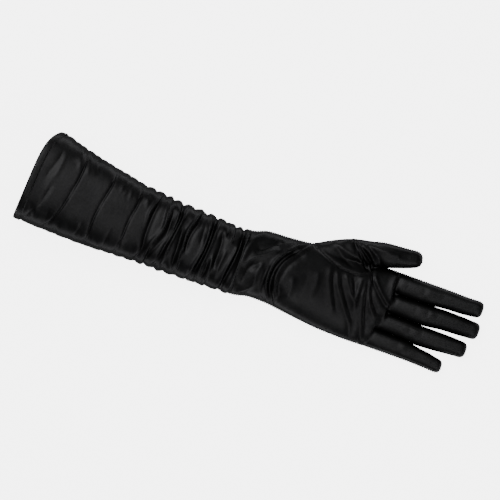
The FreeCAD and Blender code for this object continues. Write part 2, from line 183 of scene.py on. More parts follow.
GATHERS = (
    (1.5, 1.5, ((-90, 24), (-94, 14), (-97, 4), (-97, -8))),
    (-2.21, 2.2, ((-90, 22), (-93, 6), (-94, -8), (-94, -19), (-93, -30), (-97, -41))),
    (1.9, 1.5, ((-83, 25), (-82, 10), (-81, -3), (-83, -12), (-88, -23), (-90, -41))),
    (-2.55, 2.2, ((-79, 22), (-77, 7), (-76.5, -3), (-77, -11), (-81, -21), (-86, -33), (-88, -41))),
    (1.4, 1.4, ((-74, 22), (-72, 10), (-72, 1), (-73, -8))),
    (-2.21, 1.6, ((-71, 20), (-70, 7), (-71, -2), (-72, -10), (-74.5, -19), (-76.5, -30), (-79, -41))),
    (1.9, 1.5, ((-67, 23), (-68, 7), (-69.5, -5), (-71.5, -17), (-73, -30), (-74.5, -41))),
    (-1.7, 1.7, ((-64.5, 2), (-64.5, -9), (-64, -19), (-64, -30), (-62, -41))),
    (1.5, 1.3, ((-61, -4), (-60.5, -19), (-60, -32), (-58, -42))),
    (1.9, 1.5, ((-54, 20), (-57, 9), (-60, 0), (-60, -10), (-58, -21))),
    (-2.04, 1.9, ((-52, 17), (-53.5, 7), (-56, -2), (-57, -10), (-56.5, -22))),
    (-1.27, 2.2, ((-47, 17), (-46.5, 5), (-46, -4), (-47, -10))),
    (1.9, 1.6, ((-46, 20), (-43.5, 12), (-42, 1), (-42, -12), (-45, -25), (-50, -42))),
    (-2.38, 1.8, ((-39.5, 19), (-39.3, 1), (-39.8, -12), (-41.5, -25), (-44, -41))),
    (1.8, 1.2, ((-36.8, 20), (-36.8, 3), (-37.5, -12), (-39.5, -28), (-41, -42))),
    (-2.04, 2.3, ((-31, 9), (-28.5, -1), (-28.2, -12), (-28.6, -26))),
    (1.4, 1.5, ((-32.5, -12), (-31.5, -25), (-33, -41))),
    (-1.61, 1.3, ((-34.5, -18), (-34.5, -30), (-36, -41))),
    (1.3, 1.4, ((-23, 18), (-21.5, 6), (-21.5, -3))),
    (-1.61, 1.3, ((-25.5, 14), (-25, 8), (-25.5, 2))),
    (-1.44, 1.2, ((-19.6, 14), (-19, 7), (-19.5, 2))),
    (1.2, 1.6, ((-22, -6), (-24, -18), (-25, -30))),
    (1.9, 1.4, ((-13.5, 3), (-15, -9), (-17.5, -21), (-19, -34), (-21, -42))),
    (-2.89, 1.9, ((-13, 18), (-12.2, 5), (-12.7, -8), (-14, -19), (-15.5, -30), (-16.5, -41))),
    (2.3, 1.7, ((-9.6, 20), (-8.8, 3), (-8.3, -12), (-9.2, -28), (-11, -42))),
)
BACK_GATHERS = (
    (-1.7, 1.4, ((-176, 40), (-179, 18), (-181, -4), (-186, -26), (-190, -41))),
    (-1.7, 1.4, ((-147, 34), (-149, 12), (-150, -12), (-154, -41))),
    (-1.7, 1.4, ((-119, 29), (-122, 8), (-121, -16), (-125, -42))),
    (1.0, 3.0, ((-171, 40), (-174, 18), (-176, -4), (-181, -41))),
    (1.0, 3.0, ((-142, 33), (-144, 12), (-145, -12), (-148, -41))),
    (-2.5, 2.1, ((-99, 25), (-100, 8), (-97, -12), (-100, -42))),
    (1.8, 1.5, ((-93, 24), (-94, 6), (-91, -14), (-94, -42))),
    (-2.6, 2.0, ((-84, 23), (-86, 4), (-84, -17), (-89, -42))),
    (1.8, 1.5, ((-79, 22), (-80, 2), (-78, -20), (-80, -42))),
    (-2.6, 2.0, ((-69, 20), (-71, 3), (-68, -16), (-70, -42))),
    (1.7, 1.4, ((-62, 20), (-64, 4), (-60, -18), (-63, -42))),
    (-2.4, 1.9, ((-54, 20), (-53, 2), (-51, -20), (-54, -42))),
    (1.8, 1.5, ((-48, 19), (-46, 4), (-44, -16), (-47, -42))),
    (-2.6, 1.9, ((-37, 19), (-38, 2), (-35, -18), (-37, -42))),
    (1.7, 1.4, ((-31, 18), (-32, 0), (-29, -20), (-31, -42))),
    (-2.4, 1.8, ((-23, 17), (-25, 0), (-22, -20), (-24, -42))),
    (1.6, 1.4, ((-17, 17), (-19, -2), (-17, -22), (-18, -42))),
    (-2.9, 1.8, ((-12.5, 18), (-13.5, 0), (-12.5, -22), (-13.5, -42))),
    (2.1, 1.6, ((-8.8, 20), (-9.2, 0), (-8.4, -22), (-9.6, -42))),
)
WRIST_SWIRL = (
    (2.0, 1.7, ((42, 21), (34, 15), (27, 7.5), (21, -2), (19.3, -13), (20.5, -25), (27, -38))),
    (-2.6, 2.4, ((39.5, 15), (31.5, 8), (25.5, -2), (23, -13), (24, -25), (29.5, -37))),
    (1.5, 1.4, ((46, 20), (36.5, 10), (28.5, -1), (26, -13), (28, -23), (33, -38))),
    (-1.2, 2.2, ((45, 14), (37, 4), (32, -6), (31, -18), (34, -30))),
    (1.2, 3.2, ((41, -8), (42, -20), (40, -32))),
    (1.6, 3.2, ((-7.5, -30), (-7, -15), (-6, -2), (-3, 8.7), (3.7, 19.7))),
    (-2.2, 3.0, ((0, 0.3), (9.5, 7), (16, 12), (24, 16.8))),
    (1.6, 2.6, ((-5, -16), (2, -5), (12.4, 2), (23.7, 10.8))),
    (-1.8, 2.4, ((-2.2, -31.4), (0.5, -22), (1.5, -14.7), (9.3, -6))),
    (1.5, 2.3, ((-2, -38.5), (8.5, -27.7), (9, -15.7), (12.5, -5))),
    (-1.4, 1.6, ((18.4, -4), (16.6, -14), (17, -26), (19, -36)))
)
PALM_FOLDS = (
    (0.88, 2.7, ((69, 12), (71, 1), (77, -14), (84, -28))),
    (-1.02, 2.7, ((73, 8), (76, -3), (82, -17), (88, -29))),
    (1.09, 2.29, ((75, 10), (80, -3), (90, -18), (100, -32), (103, -43))),
    (-1.09, 2.56, ((80, 8), (85, -4), (94, -17), (103, -31))),
    (1.16, 2.16, ((83, 10), (90, -1), (98, -13), (102, -21))),
    (-2.04, 3.51, ((90, 10.5), (93, 5), (96, -2), (97, -9))),
    (1.22, 2.16, ((99.5, 12), (98.5, 4), (99, -6), (101, -17))),
    (-1.09, 1.76, ((101.5, 12), (102, 3), (103, -6))),
    (1.36, 2.29, ((101, 14), (104.5, -5), (108, -20), (112, -36), (116, -48))),
    (-1.5, 3.1, ((104, 12), (107.5, -5), (111, -19), (115.5, -32), (118, -42))),
    (1.09, 1.89, ((104.5, 16), (109, -3), (114, -13), (121, -21))),
    (-1.16, 2.03, ((107, 9), (112, -3), (117, -11), (123, -18))),
    (-1.09, 1.35, ((105.5, 18.5), (107.5, 12), (111.5, 6.5), (117, 0.5), (123, -5), (130, -10.5))),
    (0.88, 1.62, ((108, 18), (110.5, 12), (114, 7.5), (119.5, 1.8), (125, -3.3), (130, -7.5))),
    (0.95, 2.03, ((126.5, 23), (126.5, 12), (128, 4), (131, -4))),
    (-1.02, 1.89, ((129.8, 21), (129.8, 10), (131.5, 2), (134, -4))),
    (-0.61, 2.16, ((122, -21), (120.5, -33), (122, -46))),
    (0.82, 2.43, ((115.5, -25), (116.5, -35), (118.5, -46))),
    (-0.68, 2.16, ((129, -10), (126.5, -17), (128, -25))),
    (0.61, 2.7, ((60, 4), (62, -10), (60, -26))),
    (-0.48, 3.24, ((52, 2), (52, -14), (50, -30))),
)
THUMB_FOLDS = (
    (-1.1, 0.9, ((55, 21), (63, 17.3), (71, 14), (76, 12), (86, 11), (94, 11), (100, 13.2), (104, 16))),
    (0.9, (3.5, 0.8), ((72, 14.4), (78, 12.6), (86, 12), (94, 12), (100, 14.2))),
    (1.7, 1.3, ((86, 34), (90.5, 26), (96, 20), (101, 16.5))),
    (-3.4, 1.9, ((88, 31), (93.5, 24.5), (99.5, 19.5), (104.5, 17.5))),
    (1.6, 1.3, ((92, 29.5), (98, 23.5), (103.5, 19))),
    (-3.0, 1.7, ((92, 33), (98.5, 27.5), (103.5, 22))),
    (1.8, 1.4, ((88, 36), (97.5, 32.5), (103.5, 26), (106.5, 21))),
    (-1.4, 2.0, ((98, 36), (106, 31), (111, 25))),
    (1.0, 2.4, ((84, 38), (100, 38.5), (114, 38))),
    (-0.8, 2.0, ((76, 22), (82, 18), (90, 15.5))),
    (0.9, 2.0, ((70, 30), (78, 27), (84, 26))),
)
FINGER_WRINKLES = (
    (-0.45, 2.25, ((155, 22), (154, 14), (156, 8))),
    (0.35, 2.4, ((159, 21), (158.5, 14), (160, 9))),
    (-0.35, 2.25, ((138, 23), (139, 15), (137, 8))),
    (-0.4, 2.1, ((171, 21), (172, 15), (170, 10))),
    (-0.45, 2.1, ((152, 4), (152, -3), (151, -10))),
    (-0.45, 1.95, ((162, 4), (163, -2), (161, -9))),
    (0.4, 2.25, ((166, 4), (167, -2), (165, -9))),
    (-0.4, 1.95, ((171, 4), (172, -1), (170, -8))),
    (-0.45, 2.1, ((152, -16), (153, -23), (152, -29))),
    (-0.4, 1.95, ((163, -15), (164, -22), (162, -29))),
    (0.35, 2.25, ((157, -16), (158, -22), (157, -29))),
    (-0.45, 2.1, ((146, -32), (147, -39), (145, -45))),
    (-0.4, 1.95, ((156, -33), (157, -40), (155, -46))),
    (0.35, 2.1, ((151, -33), (152, -39), (150, -45))),
    (-0.35, 2.1, ((122, 44), (120, 38), (122, 32))),
    (-0.3, 1.95, ((131, 46), (130, 40), (132, 33))),
)
HAND_BACK_FOLDS = (
    (1.4, 2.0, ((40, 21), (33, 6), (34, -12), (38, -36))),
    (-1.7, 2.4, ((36, 20), (28, 4), (29, -14), (32, -36))),
    (1.3, 2.2, ((29, 19), (22, 2), (22, -16), (26, -37))),
    (-1.3, 2.2, ((19, 20), (14, 2), (14, -18), (17, -36))),
    (1.2, 2.2, ((8, 19), (6, 0), (6, -20), (8, -36))),
    (-1.0, 2.8, ((58, 16), (70, -2), (88, -14))),
    (1.0, 2.8, ((66, 20), (80, 4), (100, -6))),
    (-1.0, 2.0, ((124, 22), (122, 6), (124, -10), (122, -26), (118, -44))),
    (0.9, 2.2, ((118, 22), (116, 6), (118, -12), (116, -30), (112, -44))),
    (-1.0, 1.8, ((88, 38), (96, 33), (104, 26))),
    (0.9, 1.8, ((92, 42), (100, 36), (108, 29))),
)


OVERRUN = 8.0                 # a fold that reaches the glove's edge runs on round it


def at_edge(place):
    """Whether a fold's end lies at the outline of the glove."""
    x, y = place
    return x < 132 and (y > read(HIGH_EDGE, x) - 4 or y < read(LOW_EDGE, x) + 4)


def raised(fold, x, y):
    """How far one fold lifts the cloth at each (x, y)."""
    height, width, points = fold
    left_width, right_width = width if isinstance(width, tuple) else (width, width)
    line = through(points, 5)
    first_open, last_open = at_edge(line[0]), at_edge(line[-1])
    if first_open:
        line = np.vstack([line[0] + OVERRUN * unit(line[0] - line[1]), line])
    if last_open:
        line = np.vstack([line, line[-1] + OVERRUN * unit(line[-1] - line[-2])])
    change = np.zeros(len(x))
    reach = 3.2 * max(left_width, right_width)
    near = np.flatnonzero((x > line[:, 0].min() - reach) & (x < line[:, 0].max() + reach)
                          & (y > line[:, 1].min() - reach) & (y < line[:, 1].max() + reach))
    if not len(near):
        return change
    place = np.stack([x[near], y[near]], 1)
    best = np.full(len(near), 1e9)
    along = np.zeros(len(near))
    on_left = np.zeros(len(near), bool)
    steps = np.linalg.norm(np.diff(line, axis=0), axis=1)
    walked = np.concatenate([[0], np.cumsum(steps)])
    for a, b, step, before in zip(line[:-1], line[1:], steps, walked):
        t = np.clip((place - a) @ (b - a) / step ** 2, 0, 1)
        away = np.linalg.norm(place - a - t[:, None] * (b - a), axis=1)
        closer = away < best
        best[closer] = away[closer]
        along[closer] = before + t[closer] * step
        turn = (b - a)[0] * (place - a)[:, 1] - (b - a)[1] * (place - a)[:, 0]
        on_left[closer] = turn[closer] > 0
    fade = min(7.0, walked[-1] / 2.5)
    ends = np.ones(len(near))
    if not first_open:
        ends *= ease(along, -0.5, fade)
    if not last_open:
        ends *= 1 - ease(along, walked[-1] - fade, walked[-1] + 0.5)
    ratio = best / np.where(on_left, left_width, right_width)
    shape = np.exp(-ratio ** (1.7 if height > 0 else 1.3))
    change[near] = height * shape * ends
    return change


def all_raised(folds, x, y):
    """How far all the folds together lift the cloth at each (x, y)."""
    return sum((raised(fold, x, y) for fold in folds), np.zeros(len(x)))


# Where the outline dips between two puffs of cloth, along each side seam, and how far it puffs out.
THUMB_SIDE_DIPS = (-198, -186, -178, -171, -161, -154, -147, -139, -130, -123, -115, -106, -97, -87,
                   -80, -70.5, -60, -48.5, -38.5, -30, -20.5, -14, -9)
LITTLE_SIDE_DIPS = (-200, -188, -176, -167, -156, -146, -137, -126, -117, -107, -96, -88, -79, -70,
                    -58, -49, -40, -31, -19, -9)


def scallops(x, dips, taut=0.7, loose=2.1):
    """Rounded puffs between the dips of a side seam, larger where the sleeve is gathered."""
    dips = np.array(dips)
    number = np.clip(np.searchsorted(dips, x) - 1, 0, len(dips) - 2)
    across = np.clip((x - dips[number]) / (dips[number + 1] - dips[number]), 0, 1)
    height = taut + (loose - taut) * ease(x, -120, -95)
    inside = (x > dips[0]) & (x < dips[-1])
    return np.where(inside, height * (np.sin(math.pi * across) ** 0.7 - 0.6), 0.0)


def small_gathers(rng, count, x_range, edges, height):
    """Short crumples that run in from the side seams, each with its own size."""
    folds = []
    for _ in range(count):
        x = rng.uniform(*x_range)
        side = rng.choice(2)
        edge = read(edges[side], x)
        inward = (1, -1)[side] * rng.uniform(8, 22)
        lean = rng.uniform(-3, 3)
        tall = rng.choice((-1, 1)) * rng.uniform(0.5, 1) * height
        folds.append((tall, rng.uniform(1.5, 2.6),
                      ((x, edge), (x + lean * 0.6, edge + inward / 2), (x + lean, edge + inward))))
    return folds


# ---------------------------------------------------------------- meshes as arrays

def quad_normals(points, faces):
    """Each quad's own normal, twice its area long."""
    a, b, c, d = (points[faces[:, corner]] for corner in range(4))
    return np.cross(c - a, d - b)


def vertex_normals(points, faces):
    """Smooth normals of a mesh of quads."""
    across = quad_normals(points, faces)
    total = np.zeros_like(points)
    for corner in range(4):
        for axis in range(3):
            total[:, axis] += np.bincount(faces[:, corner], across[:, axis], len(points))
    return unit(total)


def sides_of(faces):
    """Every quad's four sides, as pairs of points."""
    return np.vstack([faces[:, [k, (k + 1) % 4]] for k in range(4)])


def smoothed(points, faces, times, share=0.5):
    """Each point moved towards the middle of its neighbours, several times."""
    edges = np.unique(np.sort(sides_of(faces), axis=1), axis=0)
    ends = np.concatenate([edges[:, 0], edges[:, 1]])
    others = np.concatenate([edges[:, 1], edges[:, 0]])
    count = np.maximum(np.bincount(ends, minlength=len(points)), 1)[:, None]
    for _ in range(times):
        total = np.stack([np.bincount(ends, points[others, axis], len(points)) for axis in range(3)], 1)
        points = points + share * (total / count - points)
    return points


def make_object(name, points, faces, corner_normals=None, material=None):
    """A mesh object in metres from points in millimetres. Faces may be rows of four or lists."""
    mesh = bpy.data.meshes.new(name)
    mesh.from_pydata((points * MM).tolist(), [], [list(map(int, face)) for face in faces])
    mesh.shade_smooth()
    if corner_normals is not None:
        mesh.normals_split_custom_set(corner_normals.tolist())
    item = bpy.data.objects.new(name, mesh)
    bpy.context.scene.collection.objects.link(item)
    if material is not None:
        mesh.materials.append(material)
    return item


def cloth_piece(name, points, normals, faces, material, thickness=CLOTH, beads=None):
    """A closed sheet of cloth: its outside, its inside and the edge between them."""
    used, local = np.unique(faces, return_inverse=True)
    outer = local.reshape(faces.shape)
    count = len(used)
    inner = outer[:, ::-1] + count
    pairs = sides_of(outer)
    _, first, uses = np.unique(np.sort(pairs, axis=1), axis=0, return_index=True, return_counts=True)
    start, end = pairs[first[uses == 1]].T
    rim = np.stack([end, start, start + count, end + count], 1)
    p = np.vstack([points[used], points[used] - thickness * normals[used]])
    n = np.vstack([normals[used], -normals[used]])
    quads = np.vstack([outer, inner, rim])
    corners = n[quads]
    corners[len(outer) + len(inner):] = 0
    corners = corners.reshape(-1, 3)
    if beads is not None and len(beads[0]):
        quads = np.vstack([quads, beads[1] + len(p)])
        p = np.vstack([p, beads[0]])
        corners = np.vstack([corners, np.zeros((4 * len(beads[1]), 3))])
    return make_object(name, p, quads, corners, material)


# The size that each panel is cut to in mm, and the share of that rectangle that its cloth fills. The
# widths come from the glove's girths in the CAD. The lengths run between the lines where this script
# puts its seams. Seam allowances aren't modelled and are left out, except for a fourchette's: its
# strip is 5 between the seams with 3 turned in on each side, and its share counts only the 5.
SLEEVE_CUT = (130, 240, 0.84)         # half the girth at the hem; 202 long once it is gathered
FINGER_CUTS = {                       # half the girth less the fourchettes, lower and upper length
    "index": (24.0, 17.0, 65.0),
    "middle": (20.3, 16.0, 69.0),
    "ring": (19.1, 15.0, 66.0),
    "little": (22.2, 14.5, 58.0),
}
CUTS = {
    "sleeve_front_panel": SLEEVE_CUT,
    "sleeve_back_panel": SLEEVE_CUT,
    "hem_band": (13.2, 264, 1.0),
    "palm_panel": (88, 142, 0.85),
    "hand_back_panel": (88, 142, 0.87),
    "thumb_gusset": (72, 56, 0.78),   # 44 round at x 60, 65 at x 75 and 70 at x 90, with its side wall
    "thumb_lower_front": (29.5, 10.5, 1.0),
    "thumb_lower_back": (29.5, 10.5, 1.0),
    "thumb_upper_front": (28, 36, 0.85),
    "thumb_upper_back": (28, 36, 0.85),
}
STRIP_SEWN, STRIP_CUT = 5, 11     # a fourchette's width between its seams, and as it is cut
for finger, (across, lower, upper) in FINGER_CUTS.items():
    strips = STRIP_CUT * (2 if finger in ("middle", "ring") else 1)
    for which in ("front", "back"):
        CUTS[f"{finger}_lower_{which}"] = (across, lower, 1.0)
        CUTS[f"{finger}_upper_{which}"] = (across, upper, 0.9)
    CUTS[f"{finger}_lower_fourchette"] = (strips, lower, STRIP_SEWN / STRIP_CUT)
    CUTS[f"{finger}_upper_fourchette"] = (strips, upper - 8, STRIP_SEWN / STRIP_CUT)


def declare_sheets(pieces):
    """Goes through the pieces and does nothing with them, those with a cut size in CUTS included."""
    for name, piece in pieces.items():
        if name not in CUTS:
            continue


def along_line(at, walked, rows):
    """The rows' values at each distance walked along their line."""
    return np.stack([np.interp(at, walked, rows[:, k]) for k in range(3)], 1)


def bead_chain(line, outward, pitch, length, width, height):
    """Overlock stitches along a seam: small rounded bars lying across the line, one each pitch."""
    line = np.array(line, float)
    walked = np.concatenate([[0], np.cumsum(np.linalg.norm(np.diff(line, axis=0), axis=1))])
    if walked[-1] < pitch:
        return np.zeros((0, 3)), np.zeros((0, 4), int)
    at = np.arange(pitch / 2, walked[-1], pitch)
    place = along_line(at, walked, line)
    way = unit(along_line(at + 0.3, walked, line) - along_line(at - 0.3, walked, line))
    out = unit(along_line(at, walked, np.array(outward)))
    side = unit(np.cross(way, out))
    rings, around = 5, 8
    lat = np.linspace(-math.pi / 2, math.pi / 2, rings + 2)[1:-1]
    lon = np.linspace(0, 2 * math.pi, around, endpoint=False)
    ball = [(math.cos(a) * math.cos(b), math.cos(a) * math.sin(b), math.sin(a))
            for a in lat for b in lon]
    ball = np.array(ball + [(0, 0, -1.0), (0, 0, 1.0)])
    quads = [[r * around + k, r * around + (k + 1) % around, (r + 1) * around + (k + 1) % around,
              (r + 1) * around + k] for r in range(rings - 1) for k in range(around)]
    south, north = len(ball) - 2, len(ball) - 1
    for k in range(0, around, 2):
        a, b, c = k, (k + 1) % around, (k + 2) % around
        quads.append([south, c, b, a])
        top = (rings - 1) * around
        quads.append([north, top + a, top + b, top + c])
    quads = np.array(quads)
    points = (place[:, None] + ball[None, :, :1] * length / 2 * way[:, None]
              + ball[None, :, 1:2] * height / 2 * out[:, None]
              + ball[None, :, 2:] * width / 2 * side[:, None])
    faces = quads[None] + len(ball) * np.arange(len(at))[:, None, None]
    return points.reshape(-1, 3), faces.reshape(-1, 4)


# ---------------------------------------------------------------- the hand

def tube(centres, ways, half_widths, half_depths, power=2.25, around=40):
    """A closed tube through upright sections, each across its own direction."""
    angle = np.linspace(0, 2 * math.pi, around, endpoint=False)
    wide, tall = section(angle, power)
    up = np.array([0, 0, 1.0])
    rings = []
    for centre, way, half, depth in zip(centres, ways, half_widths, half_depths):
        side = np.array([-way[1], way[0], 0.0])
        rings.append(centre + half * wide[:, None] * side + depth * tall[:, None] * up)
    points = np.vstack(rings)
    k = np.arange(around)
    faces = []
    for r in range(len(rings) - 1):
        a, b = r * around, (r + 1) * around
        faces += np.stack([a + k, a + (k + 1) % around, b + (k + 1) % around, b + k], 1).tolist()
    faces.append(list(range(around))[::-1])
    faces.append([(len(rings) - 1) * around + i for i in range(around)])
    return points, faces


def tip_round(left, length=6.5, power=3.0):
    """How wide a blunt fingertip still is, with so much left to its end."""
    t = np.clip(1 - left / length, 0, 1)
    return np.maximum(1 - t ** power, 0.004) ** (1 / power)


def fan_out(finger, x):
    """How far a finger leans from its place while the hand is meshed as one skin."""
    ring = -SPREAD * np.maximum(0, x - WEBS["ring"])
    if finger == "index":
        return SPREAD * np.maximum(0, x - WEBS["index"])
    if finger == "ring":
        return ring
    if finger == "little":
        return ring - SPREAD * np.maximum(0, x - WEBS["little"])
    if finger == "thumb":
        return THUMB_SPREAD * np.maximum(0, x - THUMB_WEB)
    return 0 * x


def finger_middle(finger, x):
    """Centre and half the width of a finger at x."""
    if finger == "thumb":
        return read(THUMB_LINE, x, 1), read(THUMB_LINE, x, 2)
    low, high = read(FINGER_EDGES[finger], x, 1), read(FINGER_EDGES[finger], x, 2)
    return (low + high) / 2, (high - low) / 2 + MESH_LOSS


def finger_tube(finger):
    """One finger, from inside the palm to its tip, leaning as it is while the hand is meshed."""
    tip = TIPS[finger]
    near_tip = tip - np.array([9, 7.5, 6, 4.5, 3, 2, 1.2, 0.5, 0.1])
    x = np.concatenate([np.arange(100, tip - 9, 3.0), near_tip])
    y, half = finger_middle(finger, x)
    taper = tip_round(tip - x)
    centres = np.stack([x, y, np.full(len(x), FINGER_Z)], 1)
    ways = np.tile([1.0, 0, 0], (len(x), 1))
    points, faces = tube(centres, ways, half * taper, 0.9 * half * taper, power=2.7)
    points[:, 1] += fan_out(finger, points[:, 0])
    return points, faces


def thumb_tube():
    """The thumb along its own line, leaning as it is while the hand is meshed."""
    line = through(THUMB_LINE, 5)
    steps = np.linalg.norm(np.diff(line[:, :2], axis=0), axis=1)
    left = np.concatenate([np.cumsum(steps[::-1])[::-1], [0]])
    taper = tip_round(left + 0.1, 8)
    height = np.interp(line[:, 0], (46, 70, 100, 143), (17, 15, 13.2, THUMB_Z))
    centres = np.stack([line[:, 0], line[:, 1], height], 1)
    ways = unit(np.gradient(np.column_stack([centres[:, :2], 0 * left]), axis=0))
    depth = line[:, 2] * np.interp(line[:, 0], (46, 60, 100, 143), (0.9, 1.0, 0.96, 0.88))
    points, faces = tube(centres, ways, line[:, 2] * taper, depth * taper, power=2.5)
    points[:, 1] += fan_out("thumb", points[:, 0])
    return points, faces


def palm_tube():
    """The palm from inside the sleeve to the knuckles."""
    x = np.arange(-14, 129.6, 2.5)
    low, high = read(LOW_EDGE, x), read(HIGH_EDGE, x)
    low = low + 17.5 * ease(x, 120.5, 124.5)
    round_end = np.where(x > 126, 0.97, 1.0)
    centres = np.stack([x, (low + high) / 2, middle_z(x)], 1)
    return tube(centres, np.tile([1.0, 0, 0], (len(x), 1)), round_end * (high - low) / 2,
                round_end * half_depth(x), power=2.6, around=72)


def one_skin(tubes):
    """The tubes joined into one smooth skin of even quads, still fanned out."""
    items = []
    for points, faces in tubes:
        mesh = bpy.data.meshes.new("part")
        mesh.from_pydata(points.tolist(), [], faces)
        item = bpy.data.objects.new("part", mesh)
        bpy.context.scene.collection.objects.link(item)
        items.append(item)
    with bpy.context.temp_override(active_object=items[0], selected_editable_objects=items):
        bpy.ops.object.join()
    skin = items[0]
    remesh = skin.modifiers.new("skin", "REMESH")
    remesh.mode = "VOXEL"
    remesh.voxel_size = VOXEL
    graph = bpy.context.evaluated_depsgraph_get()
    mesh = bpy.data.meshes.new_from_object(skin.evaluated_get(graph))
    points = np.zeros(3 * len(mesh.vertices))
    mesh.vertices.foreach_get("co", points)
    corners = np.zeros(len(mesh.loops), int)
    mesh.loops.foreach_get("vertex_index", corners)
    bpy.data.objects.remove(skin)
    bpy.data.meshes.remove(mesh)
    return points.reshape(-1, 3), corners.reshape(-1, 4)


def nearest_finger(points):
    """Place in DIGITS of the finger that each fanned-out point belongs to."""
    away = []
    for finger in DIGITS:
        centre, half = finger_middle(finger, points[:, 0])
        away.append(np.abs(points[:, 1] - centre - fan_out(finger, points[:, 0])) - half)
    return np.argmin(away, axis=0)


def press_flat(points, owner):
    """Flattens neighbouring fingers where they meet, so that neither passes the line between them."""
    x = points[:, 0]
    for number, (finger, neighbour) in enumerate(zip(FINGERS, FINGERS[1:])):
        line = (read(FINGER_EDGES[finger], x, 1) + read(FINGER_EDGES[neighbour], x, 2)) / 2
        line = line + CONTACT_LEAN * (points[:, 2] - FINGER_Z)
        free = x > max(WEBS[finger], WEBS[neighbour]) + 2.5
        mine = free & (owner == number)
        points[mine, 1] = np.maximum(points[mine, 1], line[mine] + CONTACT_GAP)
        mine = free & (owner == number + 1)
        points[mine, 1] = np.minimum(points[mine, 1], line[mine] - CONTACT_GAP)
    return points


def hand_skin():
    """The whole hand as one mesh with its folds, and which finger each point belongs to."""
    tubes = [palm_tube(), thumb_tube()] + [finger_tube(finger) for finger in FINGERS]
    points, faces = one_skin(tubes)
    for _ in range(9):
        points = smoothed(points, faces, 1, 0.5)
        points = smoothed(points, faces, 1, -0.52)
    owner = nearest_finger(points)
    normals = vertex_normals(points, faces)
    for number, finger in enumerate(DIGITS):
        mine = owner == number
        points[mine, 1] -= fan_out(finger, points[mine, 0])
    x, y = points[:, 0].copy(), points[:, 1].copy()
    front = ease(normals[:, 2], 0.08, 0.55)
    back = ease(-normals[:, 2], 0.08, 0.55)
    on_thumb = owner == THUMB
    on_palm = ~on_thumb | (x < 84)
    rng = np.random.default_rng(SEED)
    wrist_crumples = small_gathers(rng, 14, (0, 36), (LOW_EDGE, HIGH_EDGE), 0.7)
    lift = front * (all_raised(WRIST_SWIRL, x, y) + on_palm * all_raised(PALM_FOLDS, x, y)
                    + all_raised(THUMB_FOLDS, x, y) * (on_thumb | (x < 105))
                    + 0.5 * all_raised(FINGER_WRINKLES, x, y) + all_raised(wrist_crumples, x, y))
    lift += back * (all_raised(HAND_BACK_FOLDS, x, y) + 0.5 * all_raised(FINGER_WRINKLES, x + 3, y)
                    + all_raised(wrist_crumples, x + 4, y))
    points = points + normals * lift[:, None]
    points = smoothed(points, faces, 1, 0.35)
    points = press_flat(points, owner)
    points[:, 2] = np.maximum(points[:, 2], LOWEST)
    return points, faces, owner


# ---------------------------------------------------------------- the hand's pieces

THUMB_SEAM = ((50, 23.5), (55, 21), (63, 17.3), (71, 14), (76, 12), (86, 11), (94, 11), (100, 13.2),
              (105, 17), (110, 21))
BACK_THUMB_SEAM = ((50, 22.5), (62, 20), (80, 18.5), (96, 19), (110, 22))
THUMB_WAY = np.array([0.8, 0.6])
THUMB_LOWER = 10.5            # length of the thumb's lower piece
GUSSET_START, GUSSET_END = 51, 104      # where its palm seam begins and ends
SEAM_REACH = 0.8              # points this near to the gusset's seam are moved onto it
LONGEST_MOVE = 1.0            # no point is moved further than this to reach a seam
# Where each finger's lower piece begins and ends, and where its knuckle's bend is over.
FINGER_STARTS = {"index": 133.0, "middle": 133.0, "ring": 131.5, "little": 124.0}
FINGER_SPLITS = {"index": 150.0, "middle": 149.0, "ring": 146.5, "little": 138.5}
FOURCHETTE = 2.5              # half its height
FOURCHETTE_SIDES = {"index": (-1,), "middle": (-1, 1), "ring": (-1, 1), "little": (1,)}


def hand_regions(points, faces, owner):
    """The name of the piece that each face belongs to, and where the thumb leaves the hand."""
    middle = points[faces].mean(1)
    x, y, z = middle.T
    up = unit(quad_normals(points, faces))[:, 2]
    votes = np.stack([(owner[faces] == number).sum(1) for number in range(len(DIGITS))], 1)
    face_owner = np.argmax(votes, axis=1)
    front = z > middle_z(x)
    names = np.where(front, "palm_panel", "hand_back_panel").astype("<U32")
    thumb_faces = face_owner == THUMB
    mixed = (votes.max(1) < 4) & (x > THUMB_WEB - 4) & (votes[:, THUMB] > 0)
    thumb_start = (middle[mixed, :2] @ THUMB_WAY).max() + 1.2
    along = middle[:, :2] @ THUMB_WAY
    seam = np.where(up > 0, read(THUMB_SEAM, x), read(BACK_THUMB_SEAM, x))
    in_palm = (y > seam) & (x < GUSSET_END)
    gusset = (x > GUSSET_START) & (in_palm | (thumb_faces & (x >= GUSSET_END)))
    names[gusset] = "thumb_gusset"
    thumb_tip = thumb_start + THUMB_LOWER
    for low, high, part in ((thumb_start, thumb_tip, "lower"), (thumb_tip, 1e9, "upper")):
        chosen = thumb_faces & (along > low) & (along <= high)
        names[chosen] = np.where(z[chosen] > THUMB_Z, f"thumb_{part}_front", f"thumb_{part}_back")
    for number, finger in enumerate(FINGERS):
        centre, half = finger_middle(finger, x)
        side = np.sign(y - centre)
        strip = np.isin(side, FOURCHETTE_SIDES[finger]) & (np.abs(z - FINGER_Z) < FOURCHETTE)
        strip &= (np.abs(y - centre) > 0.55 * half) & (x < TIPS[finger] - 1.5)
        sort = np.where(strip, "fourchette", np.where(z > FINGER_Z, "front", "back"))
        for low, high, part in ((FINGER_STARTS[finger], FINGER_SPLITS[finger], "lower"),
                                (FINGER_SPLITS[finger], 1e9, "upper")):
            chosen = (face_owner == number) & (x > low) & (x <= high)
            names[chosen] = [f"{finger}_{part}_{which}" for which in sort[chosen]]
    return names, thumb_start, thumb_tip


